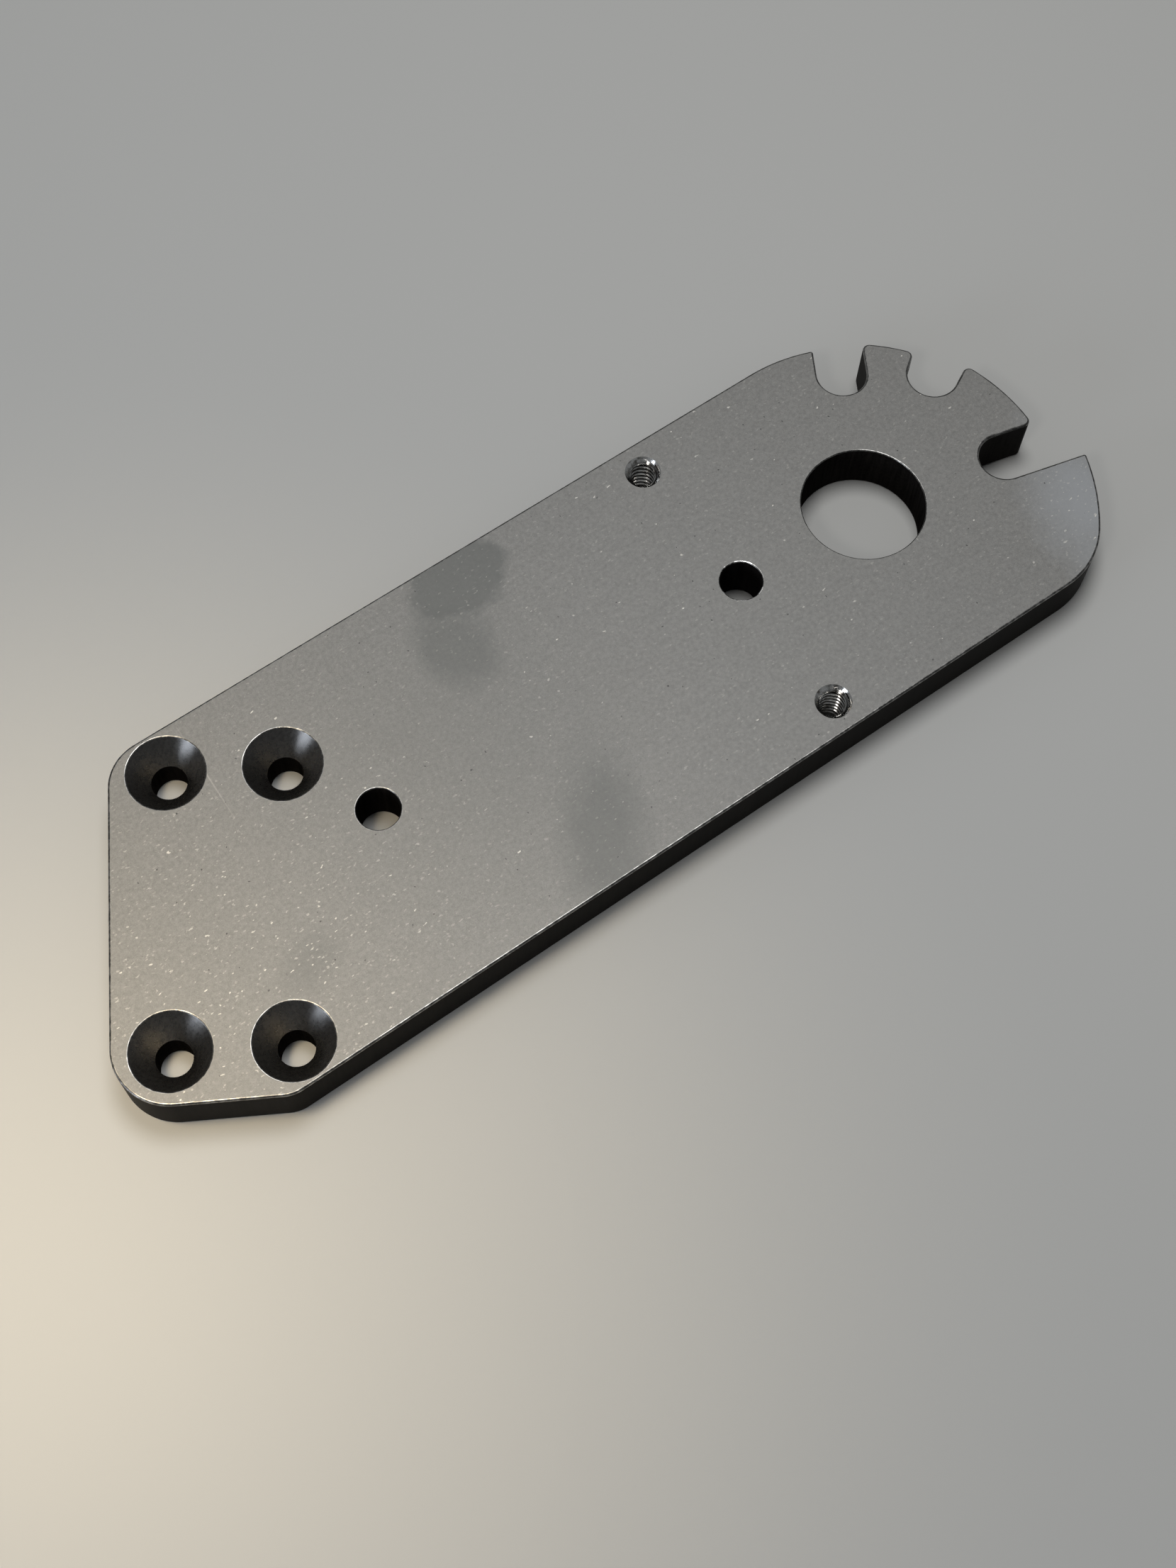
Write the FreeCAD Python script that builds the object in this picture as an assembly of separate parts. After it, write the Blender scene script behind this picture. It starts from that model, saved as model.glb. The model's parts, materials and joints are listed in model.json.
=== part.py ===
import FreeCAD, Part

# Notched index plate, machined from one flat bar of aluminium.
#
# The plate turns on the large pivot bore. Three index notches, cut square to the bore's radius, let a
# locking pin hold it at three angles. Four countersunk screws fix the slanted tail to what it carries.
# Two plain holes lie on the centre line, and two tapped holes stand one on each side of it.
#
# Frame: millimetres. The origin is the pivot bore's axis on the underside. +Z goes up to the face with
# the countersinks, and +X runs along the centre line from the tail to the notched nose.

import math
import os

# ---- Blank ------------------------------------------------------------------------------------------
plate_width = 76.2
plate_thickness = 11.7
edge_break = 0.3                # bevel along the whole outline, above and below

# ---- Pivot end --------------------------------------------------------------------------------------
pivot_bore_diameter = 25.4
hole_break = 0.25               # bevel at the mouths of the bore and the plain holes
first_tooth_radius = 39.0       # crest between the shoulder notch and the middle notch
second_tooth_radius = 41.1      # crest between the middle notch and the lobe notch
lobe_radius = 48.1
lobe_corner_radius = 18.5       # where the lobe runs into the lower long edge

# ---- Index notches: direction from the bore, and distance from the bore to the centre of the round end
notch_width = 10.5
shoulder_notch_angle = 60.0
shoulder_notch_reach = 31.6
middle_notch_angle = 27.5
middle_notch_reach = 35.3
middle_notch_flare = 8.0        # its upper flank leans back, to lead the pin in
lobe_notch_angle = -14.0
lobe_notch_reach = 31.8
tooth_tip_radius = 1.4          # corners of the two teeth
horn_tip_radius = 0.5           # the sharper corners at the shoulder and the lobe

# ---- Tail: two square edges, turned to the centre line ----------------------------------------------
tail_angle = 60.0               # from the long edges to the tail's long slanted edge
tail_edge_distance = 152.6      # bore axis to the long slanted edge
tail_foot_distance = 160.2      # bore axis, along the lower edge, to where the short slanted edge starts
                                # (that edge is square to the long slanted one)
tail_top_radius = 10.0
tail_point_radius = 11.6
tail_foot_radius = 7.0

# ---- Countersunk screw holes, on a rectangle that is parallel to the tail edges ----------------------
screw_pattern_setback = 150.6   # bore axis to the rectangle's centre, along the centre line
screw_pattern_length = 55.2
screw_pattern_width = 22.3
screw_hole_diameter = 7.0
screw_head_diameter = 15.4
screw_head_angle = 82.0

# ---- Plain holes on the centre line -----------------------------------------------------------------
link_hole_diameter = 8.6
near_link_setback = 31.1
far_link_setback = 117.3

# ---- Tapped holes (1/4-20), modelled at the size of the drilled hole -----------------------------------
tap_drill_diameter = 5.1
tap_mouth_diameter = 7.4
tapped_hole_setback = 32.4
tapped_hole_spread = 63.2

UP = FreeCAD.Vector(0, 0, 1)
half_width = plate_width / 2


def point(x, y, z=0.0):
    return FreeCAD.Vector(x, y, z)


def polar(distance, angle):
    """Point at a distance and direction (degrees) from the bore axis."""
    return point(distance * math.cos(math.radians(angle)), distance * math.sin(math.radians(angle)))


def turned(vector, angle):
    """The vector, turned about the bore axis by an angle in degrees."""
    return FreeCAD.Rotation(UP, angle).multVec(vector)


# ---- Corners of the outline, before rounding --------------------------------------------------------
def tail_corners():
    """Top, point and foot: where the two slanted edges meet the long edges and each other."""
    along = polar(1, tail_angle)                    # up the long slanted edge
    outward = polar(1, tail_angle + 90)             # out of the plate, through that edge
    foot = point(-tail_foot_distance, -half_width)
    tip = foot + outward * (tail_edge_distance - foot.dot(outward))
    top = tip + along * ((half_width - tip.y) / along.y)
    return top, tip, foot


def tail_point_room():
    """Largest radius that the tail's point can take before it meets the rounding of the foot."""
    _, tip, foot = tail_corners()
    foot_run = tail_foot_radius * math.tan(math.radians((90 - tail_angle) / 2))
    return (foot - tip).Length - foot_run - edge_break


def lobe_foot():
    """Where the lobe's arc meets the lower long edge."""
    return point(math.sqrt(lobe_radius ** 2 - half_width ** 2), -half_width)


def notch_mouth(angle, flank, flank_angle, reach, crest_radius):
    """Corner between one flank of a notch (+1 upper, -1 lower) and the crest beside it."""
    side = polar(notch_width / 2, flank_angle + 90) * flank
    start = polar(reach, angle) + side
    along = polar(1, flank_angle)
    lead = start.dot(along)
    return start + along * (math.sqrt(lead ** 2 - start.dot(start) + crest_radius ** 2) - lead)


# ---- Blank ------------------------------------------------------------------------------------------
def prism(corners):
    return Part.Face(Part.makePolygon(corners + corners[:1])).extrude(UP * plate_thickness)


def sector(radius, start, end):
    """Slice of a disc about the bore axis, from one direction to another."""
    slice_ = Part.makeCylinder(radius, plate_thickness, point(0, 0), UP, end - start)
    slice_.rotate(point(0, 0), UP, start)
    return slice_


def arm_blank():
    """Straight part of the plate, from the tail to the bore axis."""
    top, tip, foot = tail_corners()
    return prism([point(0, half_width), top, tip, foot, point(0, -half_width)])


def nose_blank():
    """Stepped nose: each crest keeps its own radius up to the notch that parts it from the next."""
    crests = [
        (half_width, shoulder_notch_angle, 90),
        (first_tooth_radius, middle_notch_angle, shoulder_notch_angle),
        (second_tooth_radius, lobe_notch_angle, middle_notch_angle),
        (lobe_radius, -90, lobe_notch_angle),
    ]
    slices = [sector(*crest) for crest in crests]
    nose = slices[0].multiFuse(slices[1:])
    return nose.common(prism([point(0, half_width), point(0, -half_width),
                              point(lobe_radius, -half_width), point(lobe_radius, half_width)]))


# ---- Notches ----------------------------------------------------------------------------------------
def slot(angle, reach, flank_angle):
    """Round-ended cutter that runs out of the nose, along flank_angle."""
    centre = polar(reach, angle)
    side = polar(notch_width / 2, flank_angle + 90)
    out = polar(lobe_radius, flank_angle)
    run = prism([centre - side, centre - side + out, centre + side + out, centre + side])
    return run.fuse(Part.makeCylinder(notch_width / 2, plate_thickness, centre, UP))


def notches():
    return [
        slot(shoulder_notch_angle, shoulder_notch_reach, shoulder_notch_angle),
        slot(middle_notch_angle, middle_notch_reach, middle_notch_angle),
        slot(middle_notch_angle, middle_notch_reach, middle_notch_angle + middle_notch_flare),
        slot(lobe_notch_angle, lobe_notch_reach, lobe_notch_angle),
    ]


# ---- Rounded corners --------------------------------------------------------------------------------
def outline_corners():
    """Every corner of the outline with its radius."""
    top, tip, foot = tail_corners()
    shoulder = (shoulder_notch_angle, shoulder_notch_reach)
    middle = (middle_notch_angle, middle_notch_reach)
    lobe = (lobe_notch_angle, lobe_notch_reach)

    def mouth(notch, flank, crest_radius, flare=0.0):
        angle, reach = notch
        return notch_mouth(angle, flank, angle + flare, reach, crest_radius)

    return [
        (top, tail_top_radius),
        (tip, min(tail_point_radius, tail_point_room())),
        (foot, tail_foot_radius),
        (lobe_foot(), lobe_corner_radius),
        (mouth(shoulder, 1, half_width), horn_tip_radius),
        (mouth(shoulder, -1, first_tooth_radius), tooth_tip_radius),
        (mouth(middle, 1, first_tooth_radius, middle_notch_flare), tooth_tip_radius),
        (mouth(middle, -1, second_tooth_radius), tooth_tip_radius),
        (mouth(lobe, 1, second_tooth_radius), tooth_tip_radius),
        (mouth(lobe, -1, lobe_radius), horn_tip_radius),
    ]


def round_corner(body, corner, radius):
    """Fillet the upright edge that stands on a corner of the outline."""
    upright = [edge for edge in body.Edges if edge.BoundBox.ZLength > plate_thickness / 2]
    nearest = min(upright, key=lambda edge: (edge.Vertexes[0].Point - corner).cross(UP).Length)
    return body.makeFillet(radius, [nearest])


def break_edges(body):
    """Bevel the whole outline, above and below."""
    rims = [edge for edge in body.Edges if edge.BoundBox.ZLength < edge_break / 10]
    return body.makeChamfer(edge_break, rims)


# ---- Holes: cutters that run through the plate -------------------------------------------------------
def cone_mouth(centre, rim_diameter, hole_diameter, angle, top=True):
    """Conical cutter that opens a hole to rim_diameter at the top or the underside."""
    rim, hole = rim_diameter / 2, hole_diameter / 2
    depth = (rim - hole) / math.tan(math.radians(angle / 2))
    base = centre + UP * (plate_thickness - depth if top else 0)
    radii = (hole, rim) if top else (rim, hole)
    return Part.makeCone(*radii, depth, base, UP)


def drilled(centre, diameter):
    return Part.makeCylinder(diameter / 2, plate_thickness, centre, UP)


def plain_hole(centre, diameter):
    """Straight hole with its edge broken at both mouths."""
    rim = diameter + 2 * hole_break
    return [drilled(centre, diameter)] + [
        cone_mouth(centre, rim, diameter, 90, top) for top in (True, False)]


def screw_hole(centre):
    """Clearance hole, countersunk for a flat head on the top face."""
    rim = screw_hole_diameter + 2 * hole_break
    return [
        drilled(centre, screw_hole_diameter),
        cone_mouth(centre, screw_head_diameter, screw_hole_diameter, screw_head_angle),
        cone_mouth(centre, rim, screw_hole_diameter, 90, top=False),
    ]


def tapped_hole(centre):
    """Drilled hole with a wide chamfer at both mouths, to start the tap."""
    return [drilled(centre, tap_drill_diameter)] + [
        cone_mouth(centre, tap_mouth_diameter, tap_drill_diameter, 90, top) for top in (True, False)]


def screw_centres():
    middle = point(-screw_pattern_setback, 0)
    return [
        middle + turned(point(u * screw_pattern_length / 2, v * screw_pattern_width / 2), tail_angle)
        for u in (1, -1) for v in (1, -1)
    ]


def holes():
    cutters = plain_hole(point(0, 0), pivot_bore_diameter)
    for setback in (near_link_setback, far_link_setback):
        cutters += plain_hole(point(-setback, 0), link_hole_diameter)
    for centre in screw_centres():
        cutters += screw_hole(centre)
    for side in (1, -1):
        cutters += tapped_hole(point(-tapped_hole_setback, side * tapped_hole_spread / 2))
    return cutters


# ---- The part ---------------------------------------------------------------------------------------
def index_plate():
    body = arm_blank().fuse(nose_blank()).removeSplitter()
    body = body.cut(notches())
    for corner, radius in outline_corners():
        body = round_corner(body, corner, radius)
    body = break_edges(body)
    return body.cut(holes()).removeSplitter()


os.makedirs("parts", exist_ok=True)
plate = index_plate()
plate.exportStep("parts/index_plate.step")
print(f"index_plate: valid {plate.isValid()}, solids {len(plate.Solids)}, faces {len(plate.Faces)},"
      f" volume {plate.Volume / 1000:.2f} cm3")
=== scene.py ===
# %% [markdown]
# # A notched index plate
#
# The object is one flat plate of aluminium, bead-blasted and hard anodised dark grey. Its shape suggests
# that it swings on the large bore, and that a pin in one of the three notches holds it at an angle. Four
# countersunk holes at the slanted tail take flat-head screws, two plain holes lie on the centre line, and
# two tapped holes show bare, shiny threads.
#
# The CAD frame has the true sizes of the plate, but its mesh is coarse on the round parts and has no
# threads. So the plate is drawn again here with bmesh, from the same sizes, with finer curves and rounded
# edges. Lengths are millimetres unless a comment says otherwise, and each finished mesh is scaled to
# metres once.

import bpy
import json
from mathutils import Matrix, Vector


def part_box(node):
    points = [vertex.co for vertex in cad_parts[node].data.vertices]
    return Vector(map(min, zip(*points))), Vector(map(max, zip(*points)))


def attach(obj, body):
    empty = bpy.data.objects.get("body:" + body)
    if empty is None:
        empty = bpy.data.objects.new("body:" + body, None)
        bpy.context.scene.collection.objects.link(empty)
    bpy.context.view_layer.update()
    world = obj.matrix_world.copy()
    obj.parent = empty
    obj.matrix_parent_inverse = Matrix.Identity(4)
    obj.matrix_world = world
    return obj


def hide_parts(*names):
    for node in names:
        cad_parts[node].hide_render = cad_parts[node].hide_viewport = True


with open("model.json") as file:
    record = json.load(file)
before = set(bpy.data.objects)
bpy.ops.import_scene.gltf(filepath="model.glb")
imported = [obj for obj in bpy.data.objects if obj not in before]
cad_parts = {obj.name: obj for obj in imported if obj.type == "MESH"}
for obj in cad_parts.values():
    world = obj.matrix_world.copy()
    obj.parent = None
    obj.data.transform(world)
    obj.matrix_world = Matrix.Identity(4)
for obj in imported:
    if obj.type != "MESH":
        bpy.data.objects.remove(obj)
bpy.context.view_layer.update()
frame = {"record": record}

# %% Tools
import json
import math

import bmesh
import bpy
from mathutils import Matrix, Vector

MILLIMETRE = 0.001
UP = Vector((0, 0, 1))
origin = Vector((0, 0, 0))
lowest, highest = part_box("index_plate")
mounts = {mount["name"]: mount for mount in frame["record"]["mounts"]}


def mount_place(name):
    """Where a mount's axis stands on the plate, in millimetres."""
    x, y, _ = mounts[name]["pos_m"]
    return Vector((x, y, 0)) / MILLIMETRE


def mount_size(name, key):
    """A size that the record states for a mount, in millimetres."""
    return mounts[name]["dims"][key]


def heading_vector(angle):
    """A flat direction of length one, at an angle from the x axis."""
    return Vector((math.cos(angle), math.sin(angle), 0))


print("frame:", [round(number / MILLIMETRE, 1) for number in highest - lowest], "mm,", len(mounts), "mounts")

# %% [markdown]
# ## Sizes
#
# What the record states as a mount is read from it, so a hole here can't drift from the CAD hole. The
# rest are the driving sizes of the outline, in the same words as a drawing of the plate would use.

# %% Sizes of the plate
plate_thickness = (highest.z - lowest.z) / MILLIMETRE
half_width = (highest.y - lowest.y) / MILLIMETRE / 2
# the CAD plate has an edge break of 0.3, and the real rims are rounder than that
edge_break = 0.45

first_tooth_radius = 39.0
second_tooth_radius = 41.1
lobe_radius = 48.1
lobe_corner_radius = 18.5
notch_radius = mount_size("middle_notch", "r_mm")
middle_notch_flare = math.radians(8)
tooth_tip_radius = 1.4
horn_tip_radius = 0.5

tail_angle = math.radians(60)
tail_edge_distance = 152.6
tail_foot_distance = 160.2
tail_top_radius = 10.0
tail_point_radius = 11.6
tail_foot_radius = 7.0
print("plate:", round(2 * half_width, 2), "wide,", round(plate_thickness, 2), "thick")

# %% Sizes of the holes
bore_radius = mount_size("pivot_bore", "r_mm")
link_hole_radius = mount_size("link_holes", "hole_r_mm")
screw_hole_radius = mount_size("screw_pair_tail_point", "hole_r_mm")
screw_head_radius = 7.7
screw_head_angle = math.radians(82)
tap_mouth_radius = 3.7
thread_minor_radius = mount_size("tapped_hole_lobe_side", "r_mm")
thread_major_radius = 3.175
thread_flank_angle = math.radians(30)
thread_pitch = 1.27
hole_break = 0.25
countersink_break = 0.18
print("radii of the bore, a link hole and a screw hole:", bore_radius, link_hole_radius, screw_hole_radius)

# %% [markdown]
# ## The camera
#
# The plate is seen from above, from the tail's lower side. A camera is easiest to think of as a point that
# it looks at, a distance, two angles and a little roll, as on a tripod head. `to_track_quat` turns the
# camera's own -Z axis down that line of sight.

# %% Camera
look_at = Vector((-81.74, -18.58, plate_thickness))
camera_distance = 415.0
camera_heading = math.radians(-127.57)
camera_height_angle = math.radians(66.36)
camera_roll = math.radians(2.42)
camera_lens = 49.9

towards_camera = Vector((math.cos(camera_heading) * math.cos(camera_height_angle),
                         math.sin(camera_heading) * math.cos(camera_height_angle),
                         math.sin(camera_height_angle)))
camera_data = bpy.data.cameras.new("studio_camera")
camera_data.lens = camera_lens
camera_data.clip_start = 0.01
camera = bpy.data.objects.new("studio_camera", camera_data)
bpy.context.scene.collection.objects.link(camera)
camera_turn = towards_camera.to_track_quat("Z", "Y").to_matrix() @ Matrix.Rotation(camera_roll, 3, "Z")
camera_place = (look_at + towards_camera * camera_distance) * MILLIMETRE
camera.matrix_world = Matrix.Translation(camera_place) @ camera_turn.to_4x4()
bpy.context.scene.camera = camera
print("camera at", [round(number, 3) for number in camera.location])

# %% [markdown]
# ## The outline
#
# Every side of the outline is either a straight run or an arc about the bore, and every corner between
# two sides is rounded. The centre of such a rounding lies where both sides, moved inwards by its radius,
# cross. Points could be typed by hand, but with this rule each corner follows from the sizes above.

# %% Sides and where they cross
def straight(start, heading):
    """A straight side. The plate lies on its left."""
    run = heading_vector(heading)
    return {"start": Vector(start), "run": run, "left": UP.cross(run)}


def about_bore(radius):
    """A round side, centred on the bore."""
    return {"radius": radius}


def moved_in(side, inset):
    if "radius" in side:
        return about_bore(side["radius"] - inset)
    return {**side, "start": side["start"] + side["left"] * inset}


def line_crossings(side, other):
    """Where a straight side meets another side, straight or round."""
    start, run = side["start"], side["run"]
    if "radius" in other:
        middle = -start.dot(run)
        reach = math.sqrt(other["radius"] ** 2 - (start + run * middle).length_squared)
        return [start + run * (middle + reach), start + run * (middle - reach)]
    step = (other["start"] - start).dot(other["left"]) / run.dot(other["left"])
    return [start + run * step]


def crossing(side, other, near):
    """Where two sides cross. A round one is crossed twice, and near tells which spot is meant."""
    if "radius" in side:
        side, other = other, side
    return min(line_crossings(side, other), key=lambda spot: (spot - near).length)


def touching(side, centre):
    """The point of a side that lies closest to a centre."""
    if "radius" in side:
        return centre.normalized() * side["radius"]
    return side["start"] + side["run"] * (centre - side["start"]).dot(side["run"])


# %% Corners and notches
def arc(start, centre, end, way, crest_next=False):
    """A bend of the outline. It turns anticlockwise if way is 1 and clockwise if it is -1."""
    return {"from": start, "centre": centre, "to": end, "way": way, "crest_next": crest_next}


def corner(side, following, radius, near=origin):
    """The rounding between two sides. A crest, which is a round side, may come after it."""
    centre = crossing(moved_in(side, radius), moved_in(following, radius), near)
    return arc(touching(side, centre), centre, touching(following, centre), 1, "radius" in following)


def notch(name, flare=0.0):
    """The two flanks of a notch, its round end, which turns the other way, and a spot at its mouth."""
    centre = mount_place(name)
    axis = mounts[name]["axis"]
    low_turn = math.atan2(axis[1], axis[0])
    high_turn = low_turn + flare
    low = centre - UP.cross(heading_vector(low_turn)) * notch_radius
    high = centre + UP.cross(heading_vector(high_turn)) * notch_radius
    mouth_reach = 1.3
    return {"in": straight(low, low_turn + math.pi), "out": straight(high, high_turn),
            "end": arc(low, centre, high, -1), "mouth": centre * mouth_reach}


lobe_notch = notch("lobe_notch")
middle_notch = notch("middle_notch", middle_notch_flare)
shoulder_notch = notch("shoulder_notch")
print("three notches,", round(2 * notch_radius, 2), "wide")

# %% The way round the plate
lower_edge = straight((0, -half_width, 0), 0)
upper_edge = straight((0, half_width, 0), math.pi)
outward = heading_vector(tail_angle + math.pi / 2)
slanted_edge = straight(outward * tail_edge_distance, tail_angle + math.pi)
foot_edge = straight((-tail_foot_distance, -half_width, 0), tail_angle - math.pi / 2)

lobe, shoulder = about_bore(lobe_radius), about_bore(half_width)
first_tooth, second_tooth = about_bore(first_tooth_radius), about_bore(second_tooth_radius)
lobe_foot = Vector((lobe_radius, -half_width, 0))
# the shoulder runs into the upper edge without a corner, so this bend has no turn
shoulder_end = Vector((0, half_width, 0))
bends = [
    corner(lower_edge, lobe, lobe_corner_radius, lobe_foot),
    corner(lobe, lobe_notch["in"], horn_tip_radius, lobe_notch["mouth"]),
    lobe_notch["end"],
    corner(lobe_notch["out"], second_tooth, tooth_tip_radius, lobe_notch["mouth"]),
    corner(second_tooth, middle_notch["in"], tooth_tip_radius, middle_notch["mouth"]),
    middle_notch["end"],
    corner(middle_notch["out"], first_tooth, tooth_tip_radius, middle_notch["mouth"]),
    corner(first_tooth, shoulder_notch["in"], tooth_tip_radius, shoulder_notch["mouth"]),
    shoulder_notch["end"],
    corner(shoulder_notch["out"], shoulder, horn_tip_radius, shoulder_notch["mouth"]),
    arc(shoulder_end, origin, shoulder_end, 0),
    corner(upper_edge, slanted_edge, tail_top_radius),
    corner(slanted_edge, foot_edge, tail_point_radius),
    corner(foot_edge, lower_edge, tail_foot_radius),
]
print(len(bends), "bends in the outline, and", sum(bend["crest_next"] for bend in bends), "crests")

# %% [markdown]
# ## Drawing the outline
#
# The pen is one vertex. `extrude_vert_indiv` pulls it along a straight run, and `spin` swings it round an
# arc. How finely an arc is cut depends on its radius, so that the chord never strays from the true curve
# by more than a few thousandths of a millimetre. Points closer than that count as the same.

# %% Pen strokes
chord_error = 0.004


def arc_steps(radius, angle):
    """How many chords an arc is cut into."""
    step = 2 * math.acos(1 - chord_error / radius)
    return max(2, math.ceil(abs(angle) / step))


def of_kind(items, kind):
    """The vertices, the edges or the faces among what an operator made."""
    return [item for item in items if isinstance(item, kind)]


def pull(mesh, pen, spot):
    """Straight stroke. Returns the new pen."""
    made = bmesh.ops.extrude_vert_indiv(mesh, verts=[pen])["verts"]
    bmesh.ops.translate(mesh, verts=made, vec=spot - pen.co)
    return made[0]


def swing(mesh, pen, centre, spot, way):
    """Round stroke about a centre, anticlockwise if way is 1 and clockwise if it is -1."""
    start, end = pen.co - centre, spot - centre
    angle = math.atan2(start.cross(end).z, start.dot(end)) % (way * 2 * math.pi)
    steps = arc_steps(start.length, angle)
    made = bmesh.ops.spin(mesh, geom=[pen], cent=centre, axis=UP, angle=angle, steps=steps,
                          use_duplicate=False)
    return of_kind(made["geom_last"], bmesh.types.BMVert)[0]


def draw_outline(mesh):
    """The closed line round the plate, on its underside."""
    pen = first = mesh.verts.new(bends[0]["from"])
    for bend, following in zip(bends, bends[1:] + bends[:1]):
        if (bend["from"] - pen.co).length > chord_error:
            pen = pull(mesh, pen, bend["from"])
        if bend["way"]:
            pen = swing(mesh, pen, bend["centre"], bend["to"], bend["way"])
        if bend["crest_next"]:
            pen = swing(mesh, pen, origin, following["from"], 1)
    mesh.edges.new((pen, first))
    return list(mesh.edges)


print("chords round the bore:", arc_steps(bore_radius, 2 * math.pi))

# %% [markdown]
# ## Raising the plate
#
# A machined plate is a flat profile with straight walls, so the outline's edges are extruded upwards. Each
# hole is a stack of rings: its wall comes from extruding one ring to the next and scaling it there, which
# makes a straight bore and a countersink with the same few lines. Then the top and the underside are
# filled between all the rings at that height. Cutting the holes out of a solid with booleans would give
# the same shape, but with less say over where the edges run.

# %% Walls
# the plate's material slots, of which a face has the first until it gets another
BLASTED, MILLED, CONE, BORE, WORN_HIGHLIT = range(5)


def raised(mesh, edges, height, finish, centre=origin, growth=1.0):
    """Extrudes a ring of edges upwards and scales it about a centre. Returns the new ring."""
    made = bmesh.ops.extrude_edge_only(mesh, edges=edges)["geom"]
    verts = of_kind(made, bmesh.types.BMVert)
    for face in of_kind(made, bmesh.types.BMFace):
        face.material_index = finish
    bmesh.ops.translate(mesh, verts=verts, vec=UP * height)
    bmesh.ops.scale(mesh, verts=verts, vec=(growth, growth, 1), space=Matrix.Translation(-centre))
    return of_kind(made, bmesh.types.BMEdge)


def ring(mesh, centre, radius, widest):
    """Circle on the underside, cut finely enough for the widest ring of its hole."""
    count = arc_steps(widest, 2 * math.pi)
    made = bmesh.ops.create_circle(mesh, segments=count, radius=radius, matrix=Matrix.Translation(centre))
    return list({edge for vert in made["verts"] for edge in vert.link_edges})


# %% Holes
def straight_hole(mesh, centre, radius):
    """Returns the hole's two rims."""
    low = ring(mesh, centre, radius, radius)
    return low, raised(mesh, low, plate_thickness, BORE)


def countersunk_hole(mesh, centre):
    """Returns the hole's rim on the underside and its wide rim on top."""
    cone_depth = (screw_head_radius - screw_hole_radius) / math.tan(screw_head_angle / 2)
    low = ring(mesh, centre, screw_hole_radius, screw_head_radius)
    neck = raised(mesh, low, plate_thickness - cone_depth, BORE)
    rim = raised(mesh, neck, cone_depth, CONE, centre, screw_head_radius / screw_hole_radius)
    return low, rim


half_pair = outward * (mount_size("screw_pair_tail_point", "pcd_mm") / 2)
screw_centres = [mount_place(pair) + half_pair * side
                 for pair in ("screw_pair_top_corner", "screw_pair_tail_point") for side in (-1, 1)]
half_link = Vector((mount_size("link_holes", "spacing_x_mm") / 2, 0, 0))
link_centres = [mount_place("link_holes") + half_link * side for side in (-1, 1)]
tap_centres = {name: mount_place(name) for name in ("tapped_hole_shoulder_side", "tapped_hole_lobe_side")}
print(len(screw_centres), "screw holes,", len(link_centres), "link holes,", len(tap_centres), "tapped holes")

# %% Plate mesh
skin = bmesh.new()
outline_low = draw_outline(skin)
outline_high = raised(skin, outline_low, plate_thickness, MILLED)
bore_low, bore_high = straight_hole(skin, origin, bore_radius)
link_rims, sink_lows, sink_rims = [], [], []
for centre in link_centres:
    low, high = straight_hole(skin, centre, link_hole_radius)
    link_rims += low + high
for centre in screw_centres:
    low, high = countersunk_hole(skin, centre)
    sink_lows += low
    sink_rims += high
for centre in tap_centres.values():
    straight_hole(skin, centre, tap_mouth_radius)
print("walls:", len(skin.faces), "faces")

# %% Top and underside
flat_angle = 0.001


def open_edges(mesh):
    return [edge for edge in mesh.edges if edge.is_boundary]


def at_height(edges, height):
    return [edge for edge in edges if all(abs(vert.co.z - height) < chord_error for vert in edge.verts)]


for height in (0.0, plate_thickness):
    bmesh.ops.triangle_fill(skin, edges=at_height(open_edges(skin), height), use_beauty=True,
                            use_dissolve=False)
inner_edges = [edge for edge in skin.edges if edge.calc_face_angle(1) < flat_angle]
bmesh.ops.dissolve_limit(skin, angle_limit=flat_angle, use_dissolve_boundaries=False, verts=[],
                         edges=inner_edges, delimit=set())
bmesh.ops.recalc_face_normals(skin, faces=skin.faces)
print("walls and faces:", len(skin.faces), "faces, open edges:", len(open_edges(skin)))

# %% [markdown]
# ## Rounded rims
#
# No rim of a machined plate is quite sharp: each was broken by a tool and then by blasting. The bevel
# operator rounds them, and gives its faces the rim finish, which is lighter partly as wear and partly as
# painted highlight. The tapped holes keep sharp rims, as the thread linings cover them.

# %% Bevels
def round_rims(mesh, edges, size, segments=4):
    made = bmesh.ops.bevel(mesh, geom=edges, offset=size, offset_type="OFFSET", affect="EDGES",
                           segments=segments, profile=0.5, clamp_overlap=False, loop_slide=True, material=-1)
    for face in made["faces"]:
        face.material_index = WORN_HIGHLIT


round_rims(skin, outline_low + outline_high, edge_break)
round_rims(skin, bore_low + bore_high + link_rims + sink_lows, hole_break)
round_rims(skin, sink_rims, countersink_break, segments=3)
print("with rounded rims:", len(skin.faces), "faces, open edges:", len(open_edges(skin)))

# %% [markdown]
# ## From bmesh to object
#
# A finished piece stays at the origin, unturned and unscaled, with its place in its mesh. The mesh is
# scaled from millimetres to metres here. A machined part has large flat faces beside narrow rounded rims,
# and plain smooth shading would smear light across the flats. The Weighted Normal modifier lets the
# larger face decide at each corner, so the flats stay flat and the rims turn softly between them.

# %% Objects
sharp_turn = math.radians(35)


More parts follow.
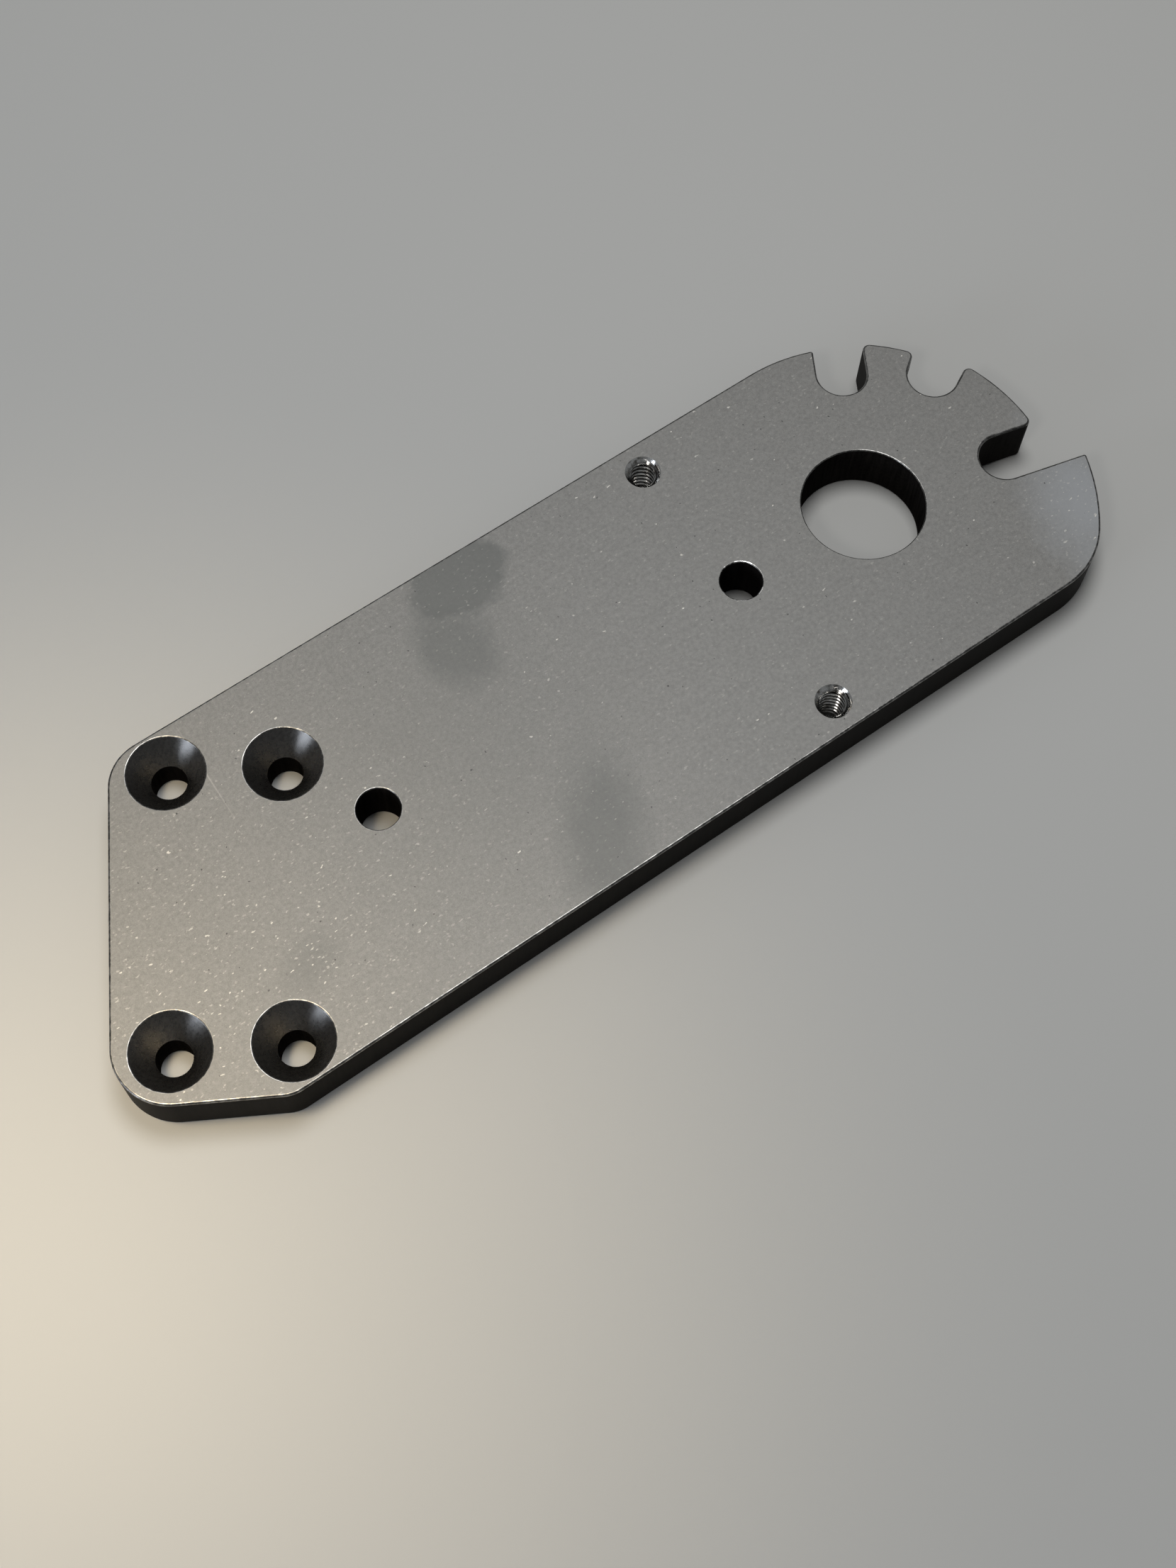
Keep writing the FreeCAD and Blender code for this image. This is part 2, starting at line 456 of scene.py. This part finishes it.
def finished(mesh, name, *finishes):
    """Turns a bmesh in millimetres into an object in metres."""
    bmesh.ops.scale(mesh, verts=mesh.verts, vec=(MILLIMETRE,) * 3)
    for face in mesh.faces:
        face.smooth = True
    for edge in mesh.edges:
        edge.smooth = len(edge.link_faces) == 2 and edge.calc_face_angle(0) < sharp_turn
    data = bpy.data.meshes.new(name)
    mesh.to_mesh(data)
    mesh.free()
    for finish in finishes:
        data.materials.append(finish)
    piece = bpy.data.objects.new(name, data)
    bpy.context.scene.collection.objects.link(piece)
    weighted = piece.modifiers.new("weighted_normals", "WEIGHTED_NORMAL")
    weighted.keep_sharp = True
    weighted.weight = 100
    print(name, "faces:", len(data.polygons))
    return piece


# %% [markdown]
# ## Threads
#
# Each tapped hole is bare metal: the tap and the chamfer tool cut it after anodising. `spin` with a lift at
# each step is a screw: it winds one turn of the thread's profile, crest, flank, root and flank, up the hole.
# The chamfer at each mouth is a cone that cuts the crests away, so every point inside that cone moves out
# to it. The lining ends flush with both faces, and its back closes against the wall of the hole.

# %% Thread profile
turn_steps = 48
flank_rise = (thread_major_radius - thread_minor_radius) * math.tan(thread_flank_angle)
# the crest has two thirds of what the flanks leave of a turn, and the root the rest
crest_width = (thread_pitch - 2 * flank_rise) * 2 / 3
profile = [(thread_minor_radius, 0), (thread_minor_radius, crest_width),
           (thread_major_radius, crest_width + flank_rise),
           (thread_major_radius, thread_pitch - flank_rise), (thread_minor_radius, thread_pitch)]
print("thread crest:", round(crest_width, 3), "wide, flanks rise", round(flank_rise, 3))


# %% Thread lining
def wind_thread(mesh, centre):
    """The thread, wound from below the underside to above the top."""
    pen = mesh.verts.new(centre + Vector((profile[0][0], 0, -thread_pitch)))
    for radius, rise in profile[1:]:
        pen = pull(mesh, pen, centre + Vector((radius, 0, rise - thread_pitch)))
    # a turn to spare at each end, which the lining's flush cuts take away
    turns = math.ceil(plate_thickness / thread_pitch) + 2
    bmesh.ops.spin(mesh, geom=list(mesh.verts) + list(mesh.edges), cent=centre, axis=UP,
                   dvec=UP * thread_pitch / turn_steps, angle=turns * 2 * math.pi,
                   steps=turns * turn_steps, use_duplicate=False)
    bmesh.ops.remove_doubles(mesh, verts=mesh.verts, dist=0.001)


def chamfer_mouths(mesh, centre):
    """Moves every point inside the two cones of 45 degrees out to them."""
    for vert in mesh.verts:
        depth = min(vert.co.z, plate_thickness - vert.co.z)
        arm = (vert.co - centre) * Vector((1, 1, 0))
        if arm.length < tap_mouth_radius - depth:
            vert.co += arm.normalized() * (tap_mouth_radius - depth - arm.length)


def thread_lining(name, centre, finish):
    mesh = bmesh.new()
    wind_thread(mesh, centre)
    chamfer_mouths(mesh, centre)
    for height, outside in ((0.0, -UP), (plate_thickness, UP)):
        everything = list(mesh.verts) + list(mesh.edges) + list(mesh.faces)
        bmesh.ops.bisect_plane(mesh, geom=everything, dist=1e-5, plane_co=UP * height, plane_no=outside,
                               clear_outer=True)
    bmesh.ops.bridge_loops(mesh, edges=open_edges(mesh))
    bmesh.ops.recalc_face_normals(mesh, faces=mesh.faces)
    print(name, "open edges:", len(open_edges(mesh)))
    return finished(mesh, name, finish)


# %% [markdown]
# ## Finishes
#
# Nodes are easier to read as a recipe, so one helper makes a node, sets its inputs and links whatever comes
# from another node. Every pattern reads Object coordinates, in metres, so a noise scale of 1000 has
# features of about a millimetre.

# %% Node helpers
def set_inputs(tree, node, inputs):
    """Gives each input a plain value, or links it to an output of another node."""
    for key, value in inputs.items():
        if isinstance(value, bpy.types.NodeSocket):
            tree.links.new(value, node.inputs[key])
        else:
            node.inputs[key].default_value = value


def add(tree, kind, inputs, **settings):
    """A new shader node."""
    made = tree.nodes.new("ShaderNode" + kind)
    for key, value in settings.items():
        setattr(made, key, value)
    set_inputs(tree, made, inputs)
    return made


def start_finish(name):
    finish = bpy.data.materials.new(name)
    finish.use_nodes = True
    tree = finish.node_tree
    place = add(tree, "TexCoord", {}).outputs["Object"]
    return finish, tree, place, tree.nodes["Principled BSDF"]


# %% Sums and ranges
def times(tree, first, second):
    return add(tree, "Math", {0: first, 1: second}, operation="MULTIPLY").outputs[0]


def plus(tree, first, second):
    return add(tree, "Math", {0: first, 1: second}, operation="ADD").outputs[0]


def between(tree, value, low, high, to_low=0.0, to_high=1.0):
    """Maps low..high of a value to a new range, and holds it there."""
    return add(tree, "MapRange", {"Value": value, "From Min": low, "From Max": high,
                                  "To Min": to_low, "To Max": to_high}).outputs["Result"]


def blend(tree, share, first, second):
    """Colour that goes from first to second with the share."""
    return add(tree, "Mix", {0: share, 6: first, 7: second}, data_type="RGBA").outputs[2]


# %% Patterns
# noise seldom leaves this range
NOISE_RANGE = (0.3, 0.7)


def noise(tree, place, scale, detail):
    return add(tree, "TexNoise", {"Vector": place, "Scale": scale, "Detail": detail, "Roughness": 0.6}
               ).outputs["Fac"]


def stretched(tree, place, scale):
    """The place with each axis scaled. A pattern grows long where the scale is small."""
    return add(tree, "Mapping", {"Vector": place, "Scale": scale}).outputs["Vector"]


def bumps(tree, height, strength, depth):
    """A normal with relief. The depth is in metres."""
    return add(tree, "Bump", {"Strength": strength, "Distance": depth, "Height": height}).outputs["Normal"]


# %% Colours
def colour_of(red, green, blue):
    return (red, green, blue, 1)


face_dark = colour_of(0.146, 0.144, 0.138)
face_light = colour_of(0.230, 0.227, 0.217)
# painted shadow on the top face, in soft dark patches
painted_shadow_colour = colour_of(0.100, 0.104, 0.100)
# a painted bluish sheen on the lobe
painted_sheen_colour = colour_of(0.300, 0.312, 0.328)
# pale specks: faint dust, worn pits and painted glints
speck_and_glint_colour = colour_of(0.62, 0.60, 0.55)
dark_speck = colour_of(0.05, 0.05, 0.048)
scratch_colour = colour_of(0.36, 0.35, 0.33)
# the walls' near-black tone is partly their own darker anodise and partly painted shade
wall_dark = colour_of(0.010, 0.0093, 0.0085)
wall_light = colour_of(0.020, 0.0185, 0.017)
cone_dark = colour_of(0.092, 0.090, 0.088)
cone_light = colour_of(0.135, 0.132, 0.128)
# painted shade inside the bores, near black
painted_shade_bore_dark = colour_of(0.006, 0.0055, 0.005)
painted_shade_bore_light = colour_of(0.016, 0.014, 0.013)
# the rims: lighter partly as wear and partly as painted highlight
rim_dark = colour_of(0.12, 0.118, 0.114)
rim_wear_highlight = colour_of(0.34, 0.335, 0.325)
bare_metal = colour_of(0.82, 0.815, 0.80)
tarnish = colour_of(0.22, 0.205, 0.185)
# painted shade in the thread roots
root_painted_shade = colour_of(0.02, 0.018, 0.016)
paper_colour = colour_of(0.44, 0.44, 0.43)

# %% [markdown]
# ## The blasted faces
#
# Bead blasting leaves a fine, even grain, and the anodising over it is a satin dark grey. The rolled stock's
# own lines still show faintly along the plate. A painted texture could be wrapped over the plate,
# but noise has no seams and stays sharp from close by.

# %% Grain
face_grain, face_mottle, face_rolling = 4200, 1300, 1600
grain_share, mottle_share, rolling_share = 0.55, 0.37, 0.08
rolling_stretch = (0.03, 1, 1)
face_contrast = (0.36, 0.64)
face_roughness = (0.46, 0.60)


def blast_tone(tree, place, grain):
    mottle = noise(tree, place, face_mottle, 2)
    rolling = noise(tree, stretched(tree, place, rolling_stretch), face_rolling, 2)
    blast = plus(tree, times(tree, grain, grain_share), times(tree, mottle, mottle_share))
    return plus(tree, times(tree, rolling, rolling_share), blast)


# %% [markdown]
# ## Painted shadow and sheen, and marks
#
# A few soft dark patches on the top are painted shadow, and a smaller dark patch lies at the tail. A pale
# bluish patch on the lobe is a painted sheen, and there is a fine scratch. Each is an ellipse with a ragged
# border: a Mapping node of the texture kind turns the plate's coordinates into those of the mark, in which
# its border is at a distance of one. Painting them would need a flat map of the plate, and an ellipse needs
# only a centre, two half sizes and a turn.

# %% Painted shadow, sheen and marks on the top
# centre, half sizes, turn in degrees, softness of the border
# the lobe's patch: a painted bluish sheen, and wear where the pale specks lie more closely
lobe_sheen_and_wear = ((38, -26), (9, 16), -15, 0.7)
tail_wear = ((-166, -24), (46, 34), 30, 0.6)
scratch = ((-140.2, 25), (0.14, 8), -2, 0.6)
# the same with strength and colour; the first three and the wide, faint fifth are painted shadow,
# and the fourth is a small dark patch in the same colour
face_marks = (
    ((-77, 33), (10.5, 8.5), 0, 0.14, 0.75, painted_shadow_colour),
    ((-86, 20), (7, 8.5), 10, 0.35, 0.60, painted_shadow_colour),
    ((-85, -28), (15, 7.5), 63, 0.45, 0.60, painted_shadow_colour),
    ((-145, -19), (6, 4), 20, 0.5, 0.30, painted_shadow_colour),
    ((-98, 2), (26, 24), 0, 0.6, 0.20, painted_shadow_colour),
    (*lobe_sheen_and_wear, 0.75, painted_sheen_colour),
    (*scratch, 0.6, scratch_colour),
)
# a mark reaches this far down the rims too, but not to the underside
mark_height = 3
border_scale, border_reach = 130, 0.2


def mark(tree, place, ragged, centre, half_sizes, turn, softness):
    """Mask of a soft-edged ellipse on the top face."""
    spot = add(tree, "Mapping", {"Vector": place,
                                 "Location": Vector((*centre, plate_thickness)) * MILLIMETRE,
                                 "Rotation": (0, 0, math.radians(turn)),
                                 "Scale": Vector((*half_sizes, mark_height)) * MILLIMETRE},
               vector_type="TEXTURE")
    reach = add(tree, "VectorMath", {0: spot.outputs["Vector"]}, operation="LENGTH").outputs["Value"]
    return between(tree, plus(tree, reach, ragged), 1 + softness, 1 - softness)


def with_marks(tree, place, ragged, colour):
    for *shape, strength, mark_tone in face_marks:
        mask = mark(tree, place, ragged, *shape)
        colour = blend(tree, times(tree, mask, strength), colour, mark_tone)
    return colour


print(len(face_marks), "marks on the top face")

# %% [markdown]
# ## Specks
#
# Some small pale specks are painted glints, where the light would catch the metal in pits; faint dust and
# worn pits take the same pale colour, and there are dark pits between them. The pale ones lie more closely
# at the tail and on the lobe. A Voronoi texture gives each cell one spot and a random colour, and that
# colour decides whether the cell has a speck at all and how strong it is.

# %% Specks on the top
# spacing, size, share of the cells that have a speck, strength of the faintest one
dark_pits = (2.2, 0.32, 0.3, 1.0)
faint_dust = (0.75, 0.34, 0.6, 0.1)
# painted glints: pale specks that stand for light catching the metal
painted_glints = (1.9, 0.32, 0.30, 0.2)
worn_pits = (1.1, 0.34, 0.4, 0.2)
# how strongly the dust shows where the face is unworn and worn
dust_strength = (0.18, 0.40)
# how finely and how far the specks are pushed out of round
pit_jostle, speck_jostle = (1800, 0.15), (1400, 0.25)
# a pale speck is longer along the plate than across it
speck_stretch = (0.6, 1.1, 1)


def specks(tree, place, spacing, size, share, faintest):
    """Mask of small ragged specks, one to a cell at most. A speck fades out about half its size away."""
    cells = add(tree, "TexVoronoi", {"Vector": place, "Scale": 1 / (spacing * MILLIMETRE)})
    spot = between(tree, cells.outputs["Distance"], size * 0.6 / spacing, size * 0.4 / spacing)
    # the cell's red decides whether it has a speck, and its green how strong that is
    lots = add(tree, "SeparateColor", {"Color": cells.outputs["Color"]})
    chosen = add(tree, "Math", {0: lots.outputs["Red"], 1: share}, operation="LESS_THAN").outputs[0]
    strength = between(tree, lots.outputs["Green"], 0, 1, faintest, 1)
    return times(tree, spot, times(tree, chosen, strength))


def jostled(tree, place, scale, reach):
    """The same place, pushed about at random by up to a reach in millimetres."""
    push = add(tree, "TexNoise", {"Vector": place, "Scale": scale, "Detail": 2.0}).outputs["Color"]
    centred = add(tree, "VectorMath", {0: push, 1: (0.5, 0.5, 0.5)}, operation="SUBTRACT").outputs[0]
    # noise strays about a quarter from its middle, so four times that is the whole reach
    reach *= 4 * MILLIMETRE
    return add(tree, "VectorMath", {0: centred, 1: (reach, reach, reach), 2: place},
               operation="MULTIPLY_ADD").outputs[0]


def with_specks(tree, place, ragged, colour):
    pits = specks(tree, jostled(tree, place, *pit_jostle), *dark_pits)
    colour = blend(tree, pits, colour, dark_speck)
    worn = add(tree, "Math", {0: mark(tree, place, ragged, *tail_wear),
                              1: mark(tree, place, ragged, *lobe_sheen_and_wear)}, operation="MAXIMUM").outputs[0]
    loose = jostled(tree, stretched(tree, place, speck_stretch), *speck_jostle)
    dust = times(tree, specks(tree, loose, *faint_dust), between(tree, worn, 0, 1, *dust_strength))
    for mask in (dust, specks(tree, loose, *painted_glints), times(tree, specks(tree, loose, *worn_pits), worn)):
        colour = blend(tree, mask, colour, speck_and_glint_colour)
    return colour


# %% Blasted and anodised
def blasted_finish():
    finish, tree, place, shader = start_finish("blasted_anodise")
    grain = noise(tree, place, face_grain, 3)
    tone = blast_tone(tree, place, grain)
    ragged = between(tree, noise(tree, place, border_scale, 5), *NOISE_RANGE, -border_reach, border_reach)
    colour = blend(tree, between(tree, tone, *face_contrast), face_dark, face_light)
    colour = with_marks(tree, place, ragged, colour)
    set_inputs(tree, shader, {"Base Color": with_specks(tree, place, ragged, colour),
                              "Roughness": between(tree, grain, *NOISE_RANGE, *face_roughness),
                              "Metallic": 0.3,
                              "Normal": bumps(tree, tone, 0.4, 0.00003)})
    return finish


# %% [markdown]
# ## Walls, cones and bores
#
# The sides are milled, not blasted, so they are smoother, with faint upright streaks as the flank of an end
# mill leaves them. The walls' near-black tone is partly their own darker anodise and partly painted shade,
# and inside the bores it is painted shade. Walls, cones and bores differ only in tone, gloss and how
# metallic they look, so one function makes all three.

# %% Milled finishes
streak_scale, milled_grain = 1500, 1800
streak_share, milled_grain_share = 0.6, 0.4
milled_contrast = (0.35, 0.65)


def milled_finish(name, dark, light, stretch, gloss, metal=0.0, roughness=(0.34, 0.44)):
    """Smooth dark tone over faint streaks, partly painted shade on the walls and wholly in the bores. A
    small stretch in z draws the streaks upright.
    """
    finish, tree, place, shader = start_finish(name)
    streaks = noise(tree, stretched(tree, place, (1, 1, stretch)), streak_scale, 3)
    grain = noise(tree, place, milled_grain, 3)
    tone = plus(tree, times(tree, streaks, streak_share), times(tree, grain, milled_grain_share))
    set_inputs(tree, shader, {"Base Color": blend(tree, between(tree, tone, *milled_contrast), dark, light),
                              "Roughness": between(tree, tone, *NOISE_RANGE, *roughness),
                              "Specular IOR Level": gloss,
                              "Metallic": metal,
                              "Normal": bumps(tree, tone, 0.1, 0.00001)})
    return finish


# %% [markdown]
# ## Worn rims with painted highlight
#
# The rims are metallic and lighter than the faces, partly as wear from handling and partly as painted
# highlight, and vary from dark to light. The rim of the link hole next to the bore is chipped down to bare
# metal in places. Each chip could be modelled, but a coarse noise inside a round mark gives the same broken
# glints.

# %% Rim finish
chipped_hole = (link_centres[1].xy, (6, 6), 0, 0.1)
wear_scale, chip_scale = 900, 420
wear_contrast, chip_edge = (0.42, 0.62), (0.52, 0.56)


def rim_wear_and_highlight_finish():
    finish, tree, place, shader = start_finish("worn_highlit_rim")
    wear = between(tree, noise(tree, place, wear_scale, 4), *wear_contrast)
    chips = times(tree, between(tree, noise(tree, place, chip_scale, 2), *chip_edge),
                  mark(tree, place, 0.0, *chipped_hole))
    colour = blend(tree, wear, rim_dark, rim_wear_highlight)
    set_inputs(tree, shader, {"Base Color": blend(tree, chips, colour, bare_metal),
                              "Roughness": 0.3,
                              "Metallic": 1.0})
    return finish


# %% [markdown]
# ## Bare thread metal
#
# The threads shine, and painted shade darkens their roots. The roots are the points that lie far from the
# hole's axis and deeper than the chamfers, so the material measures both: the distance in x and y by a
# Mapping node that flattens z, and the depth by z itself.

# %% Bare metal
# the painted shade's start and full strength, outwards from the crests and down from the mouths
shade_start_reach, shade_full_reach = 0.03, 0.22
shade_start_depth, shade_full_depth = 0.6, 1.2
flattened = (1, 1, 1e6)
stain_scale, stain_contrast = 700, (0.45, 0.65)
polish_scale, thread_roughness = 3000, (0.12, 0.24)


def painted_shade_mask(tree, place, centre):
    """Mask of painted shade in the thread's roots, away from both mouths of the hole."""
    flat = add(tree, "Mapping", {"Vector": place, "Location": centre * MILLIMETRE, "Scale": flattened},
               vector_type="TEXTURE").outputs["Vector"]
    radius = add(tree, "VectorMath", {0: flat}, operation="LENGTH").outputs["Value"]
    deep_in = between(tree, radius, (thread_minor_radius + shade_start_reach) * MILLIMETRE,
                      (thread_minor_radius + shade_full_reach) * MILLIMETRE)
    height = add(tree, "SeparateXYZ", {"Vector": place}).outputs["Z"]
    below = between(tree, height, (plate_thickness - shade_start_depth) * MILLIMETRE,
                    (plate_thickness - shade_full_depth) * MILLIMETRE)
    above = between(tree, height, shade_start_depth * MILLIMETRE, shade_full_depth * MILLIMETRE)
    return times(tree, deep_in, times(tree, below, above))


def bare_finish(name, centre):
    finish, tree, place, shader = start_finish(name)
    stains = between(tree, noise(tree, place, stain_scale, 3), *stain_contrast)
    colour = blend(tree, stains, bare_metal, tarnish)
    polish = noise(tree, place, polish_scale, 3)
    set_inputs(tree, shader, {"Base Color": blend(tree, painted_shade_mask(tree, place, centre), colour, root_painted_shade),
                              "Roughness": between(tree, polish, *NOISE_RANGE, *thread_roughness),
                              "Metallic": 1.0})
    return finish


# %% [markdown]
# ## Dressing the plate
#
# The plate is one piece with five finishes, in the order of its material slots, and each thread lining is
# a piece of its own, because its metal is bare. All of them belong to the one body of the part, and the
# plate takes the place of the coarse CAD plate.

# %% Dress the plate
finishes = (blasted_finish(), milled_finish("milled_wall", wall_dark, wall_light, 0.06, 0.006),
            milled_finish("countersink_cone", cone_dark, cone_light, 0.3, 0.3, metal=0.95,
                          roughness=(0.24, 0.32)),
            milled_finish("bore_wall", painted_shade_bore_dark, painted_shade_bore_light, 0.05, 0.0), rim_wear_and_highlight_finish())
plate = finished(skin, "plate", *finishes)
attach(plate, "root")
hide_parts("index_plate")
for name, centre in tap_centres.items():
    lining_name = name.replace("tapped_hole", "thread")
    lining = thread_lining(lining_name, centre, bare_finish("bare_" + lining_name, centre))
    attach(lining, "root")

# %% [markdown]
# ## Studio
#
# The floor is a plain pale sheet that the plate lies on. A soft lamp overhead does most of the work. A warm
# one over the tail, a low cool one and a small one from the tail's side draw out the rims, the cones and
# the threads, and a dim world fills the rest evenly.

# %% Floor
floor_reach = 1500
floor_gap = 0.02
floor_mesh = bmesh.new()
bmesh.ops.create_grid(floor_mesh, x_segments=1, y_segments=1, size=floor_reach,
                      matrix=Matrix.Translation((0, 0, -floor_gap)))
paper = bpy.data.materials.new("pale_paper")
paper.use_nodes = True
set_inputs(paper.node_tree, paper.node_tree.nodes["Principled BSDF"],
           {"Base Color": paper_colour, "Roughness": 0.9})
floor = finished(floor_mesh, "floor", paper)


# %% Lamps and world
def lamp(name, place, aim, size, power, colour, spread=math.pi):
    """A round lamp. Its place, aim and size are in metres, and its power in watts."""
    data = bpy.data.lights.new(name, "AREA")
    data.color = colour
    data.shape = "DISK"
    data.size = size
    data.energy = power
    data.spread = spread
    made = bpy.data.objects.new(name, data)
    bpy.context.scene.collection.objects.link(made)
    line = Vector(place) - Vector(aim)
    made.matrix_world = Matrix.Translation(place) @ line.to_track_quat("Z", "Y").to_matrix().to_4x4()
    print(name, power, "W,", round(line.length, 2), "m away")


lamp("key_lamp", (-0.25, 0.02, 0.42), (-0.225, -0.03, 0), 0.09, 0.095, (1, 0.82, 0.55), math.radians(44))
lamp("top_lamp", (0.04, 0.13, 0.80), (0.02, 0, 0), 0.35, 3.7, (1, 1, 0.99))
lamp("front_lamp", (-0.43, -0.16, 0.57), (-0.08, -0.02, 0), 0.12, 0.42, (1, 0.97, 0.93))
lamp("window_lamp", (-0.95, 0.0, 0.20), (-0.16, -0.02, 0), 0.40, 2.2, (0.82, 0.89, 1))
world = bpy.data.worlds.new("studio")
world.use_nodes = True
set_inputs(world.node_tree, world.node_tree.nodes["Background"],
           {"Color": colour_of(0.95, 0.98, 1), "Strength": 0.15})
bpy.context.scene.world = world
bpy.context.scene.view_settings.view_transform = "Standard"
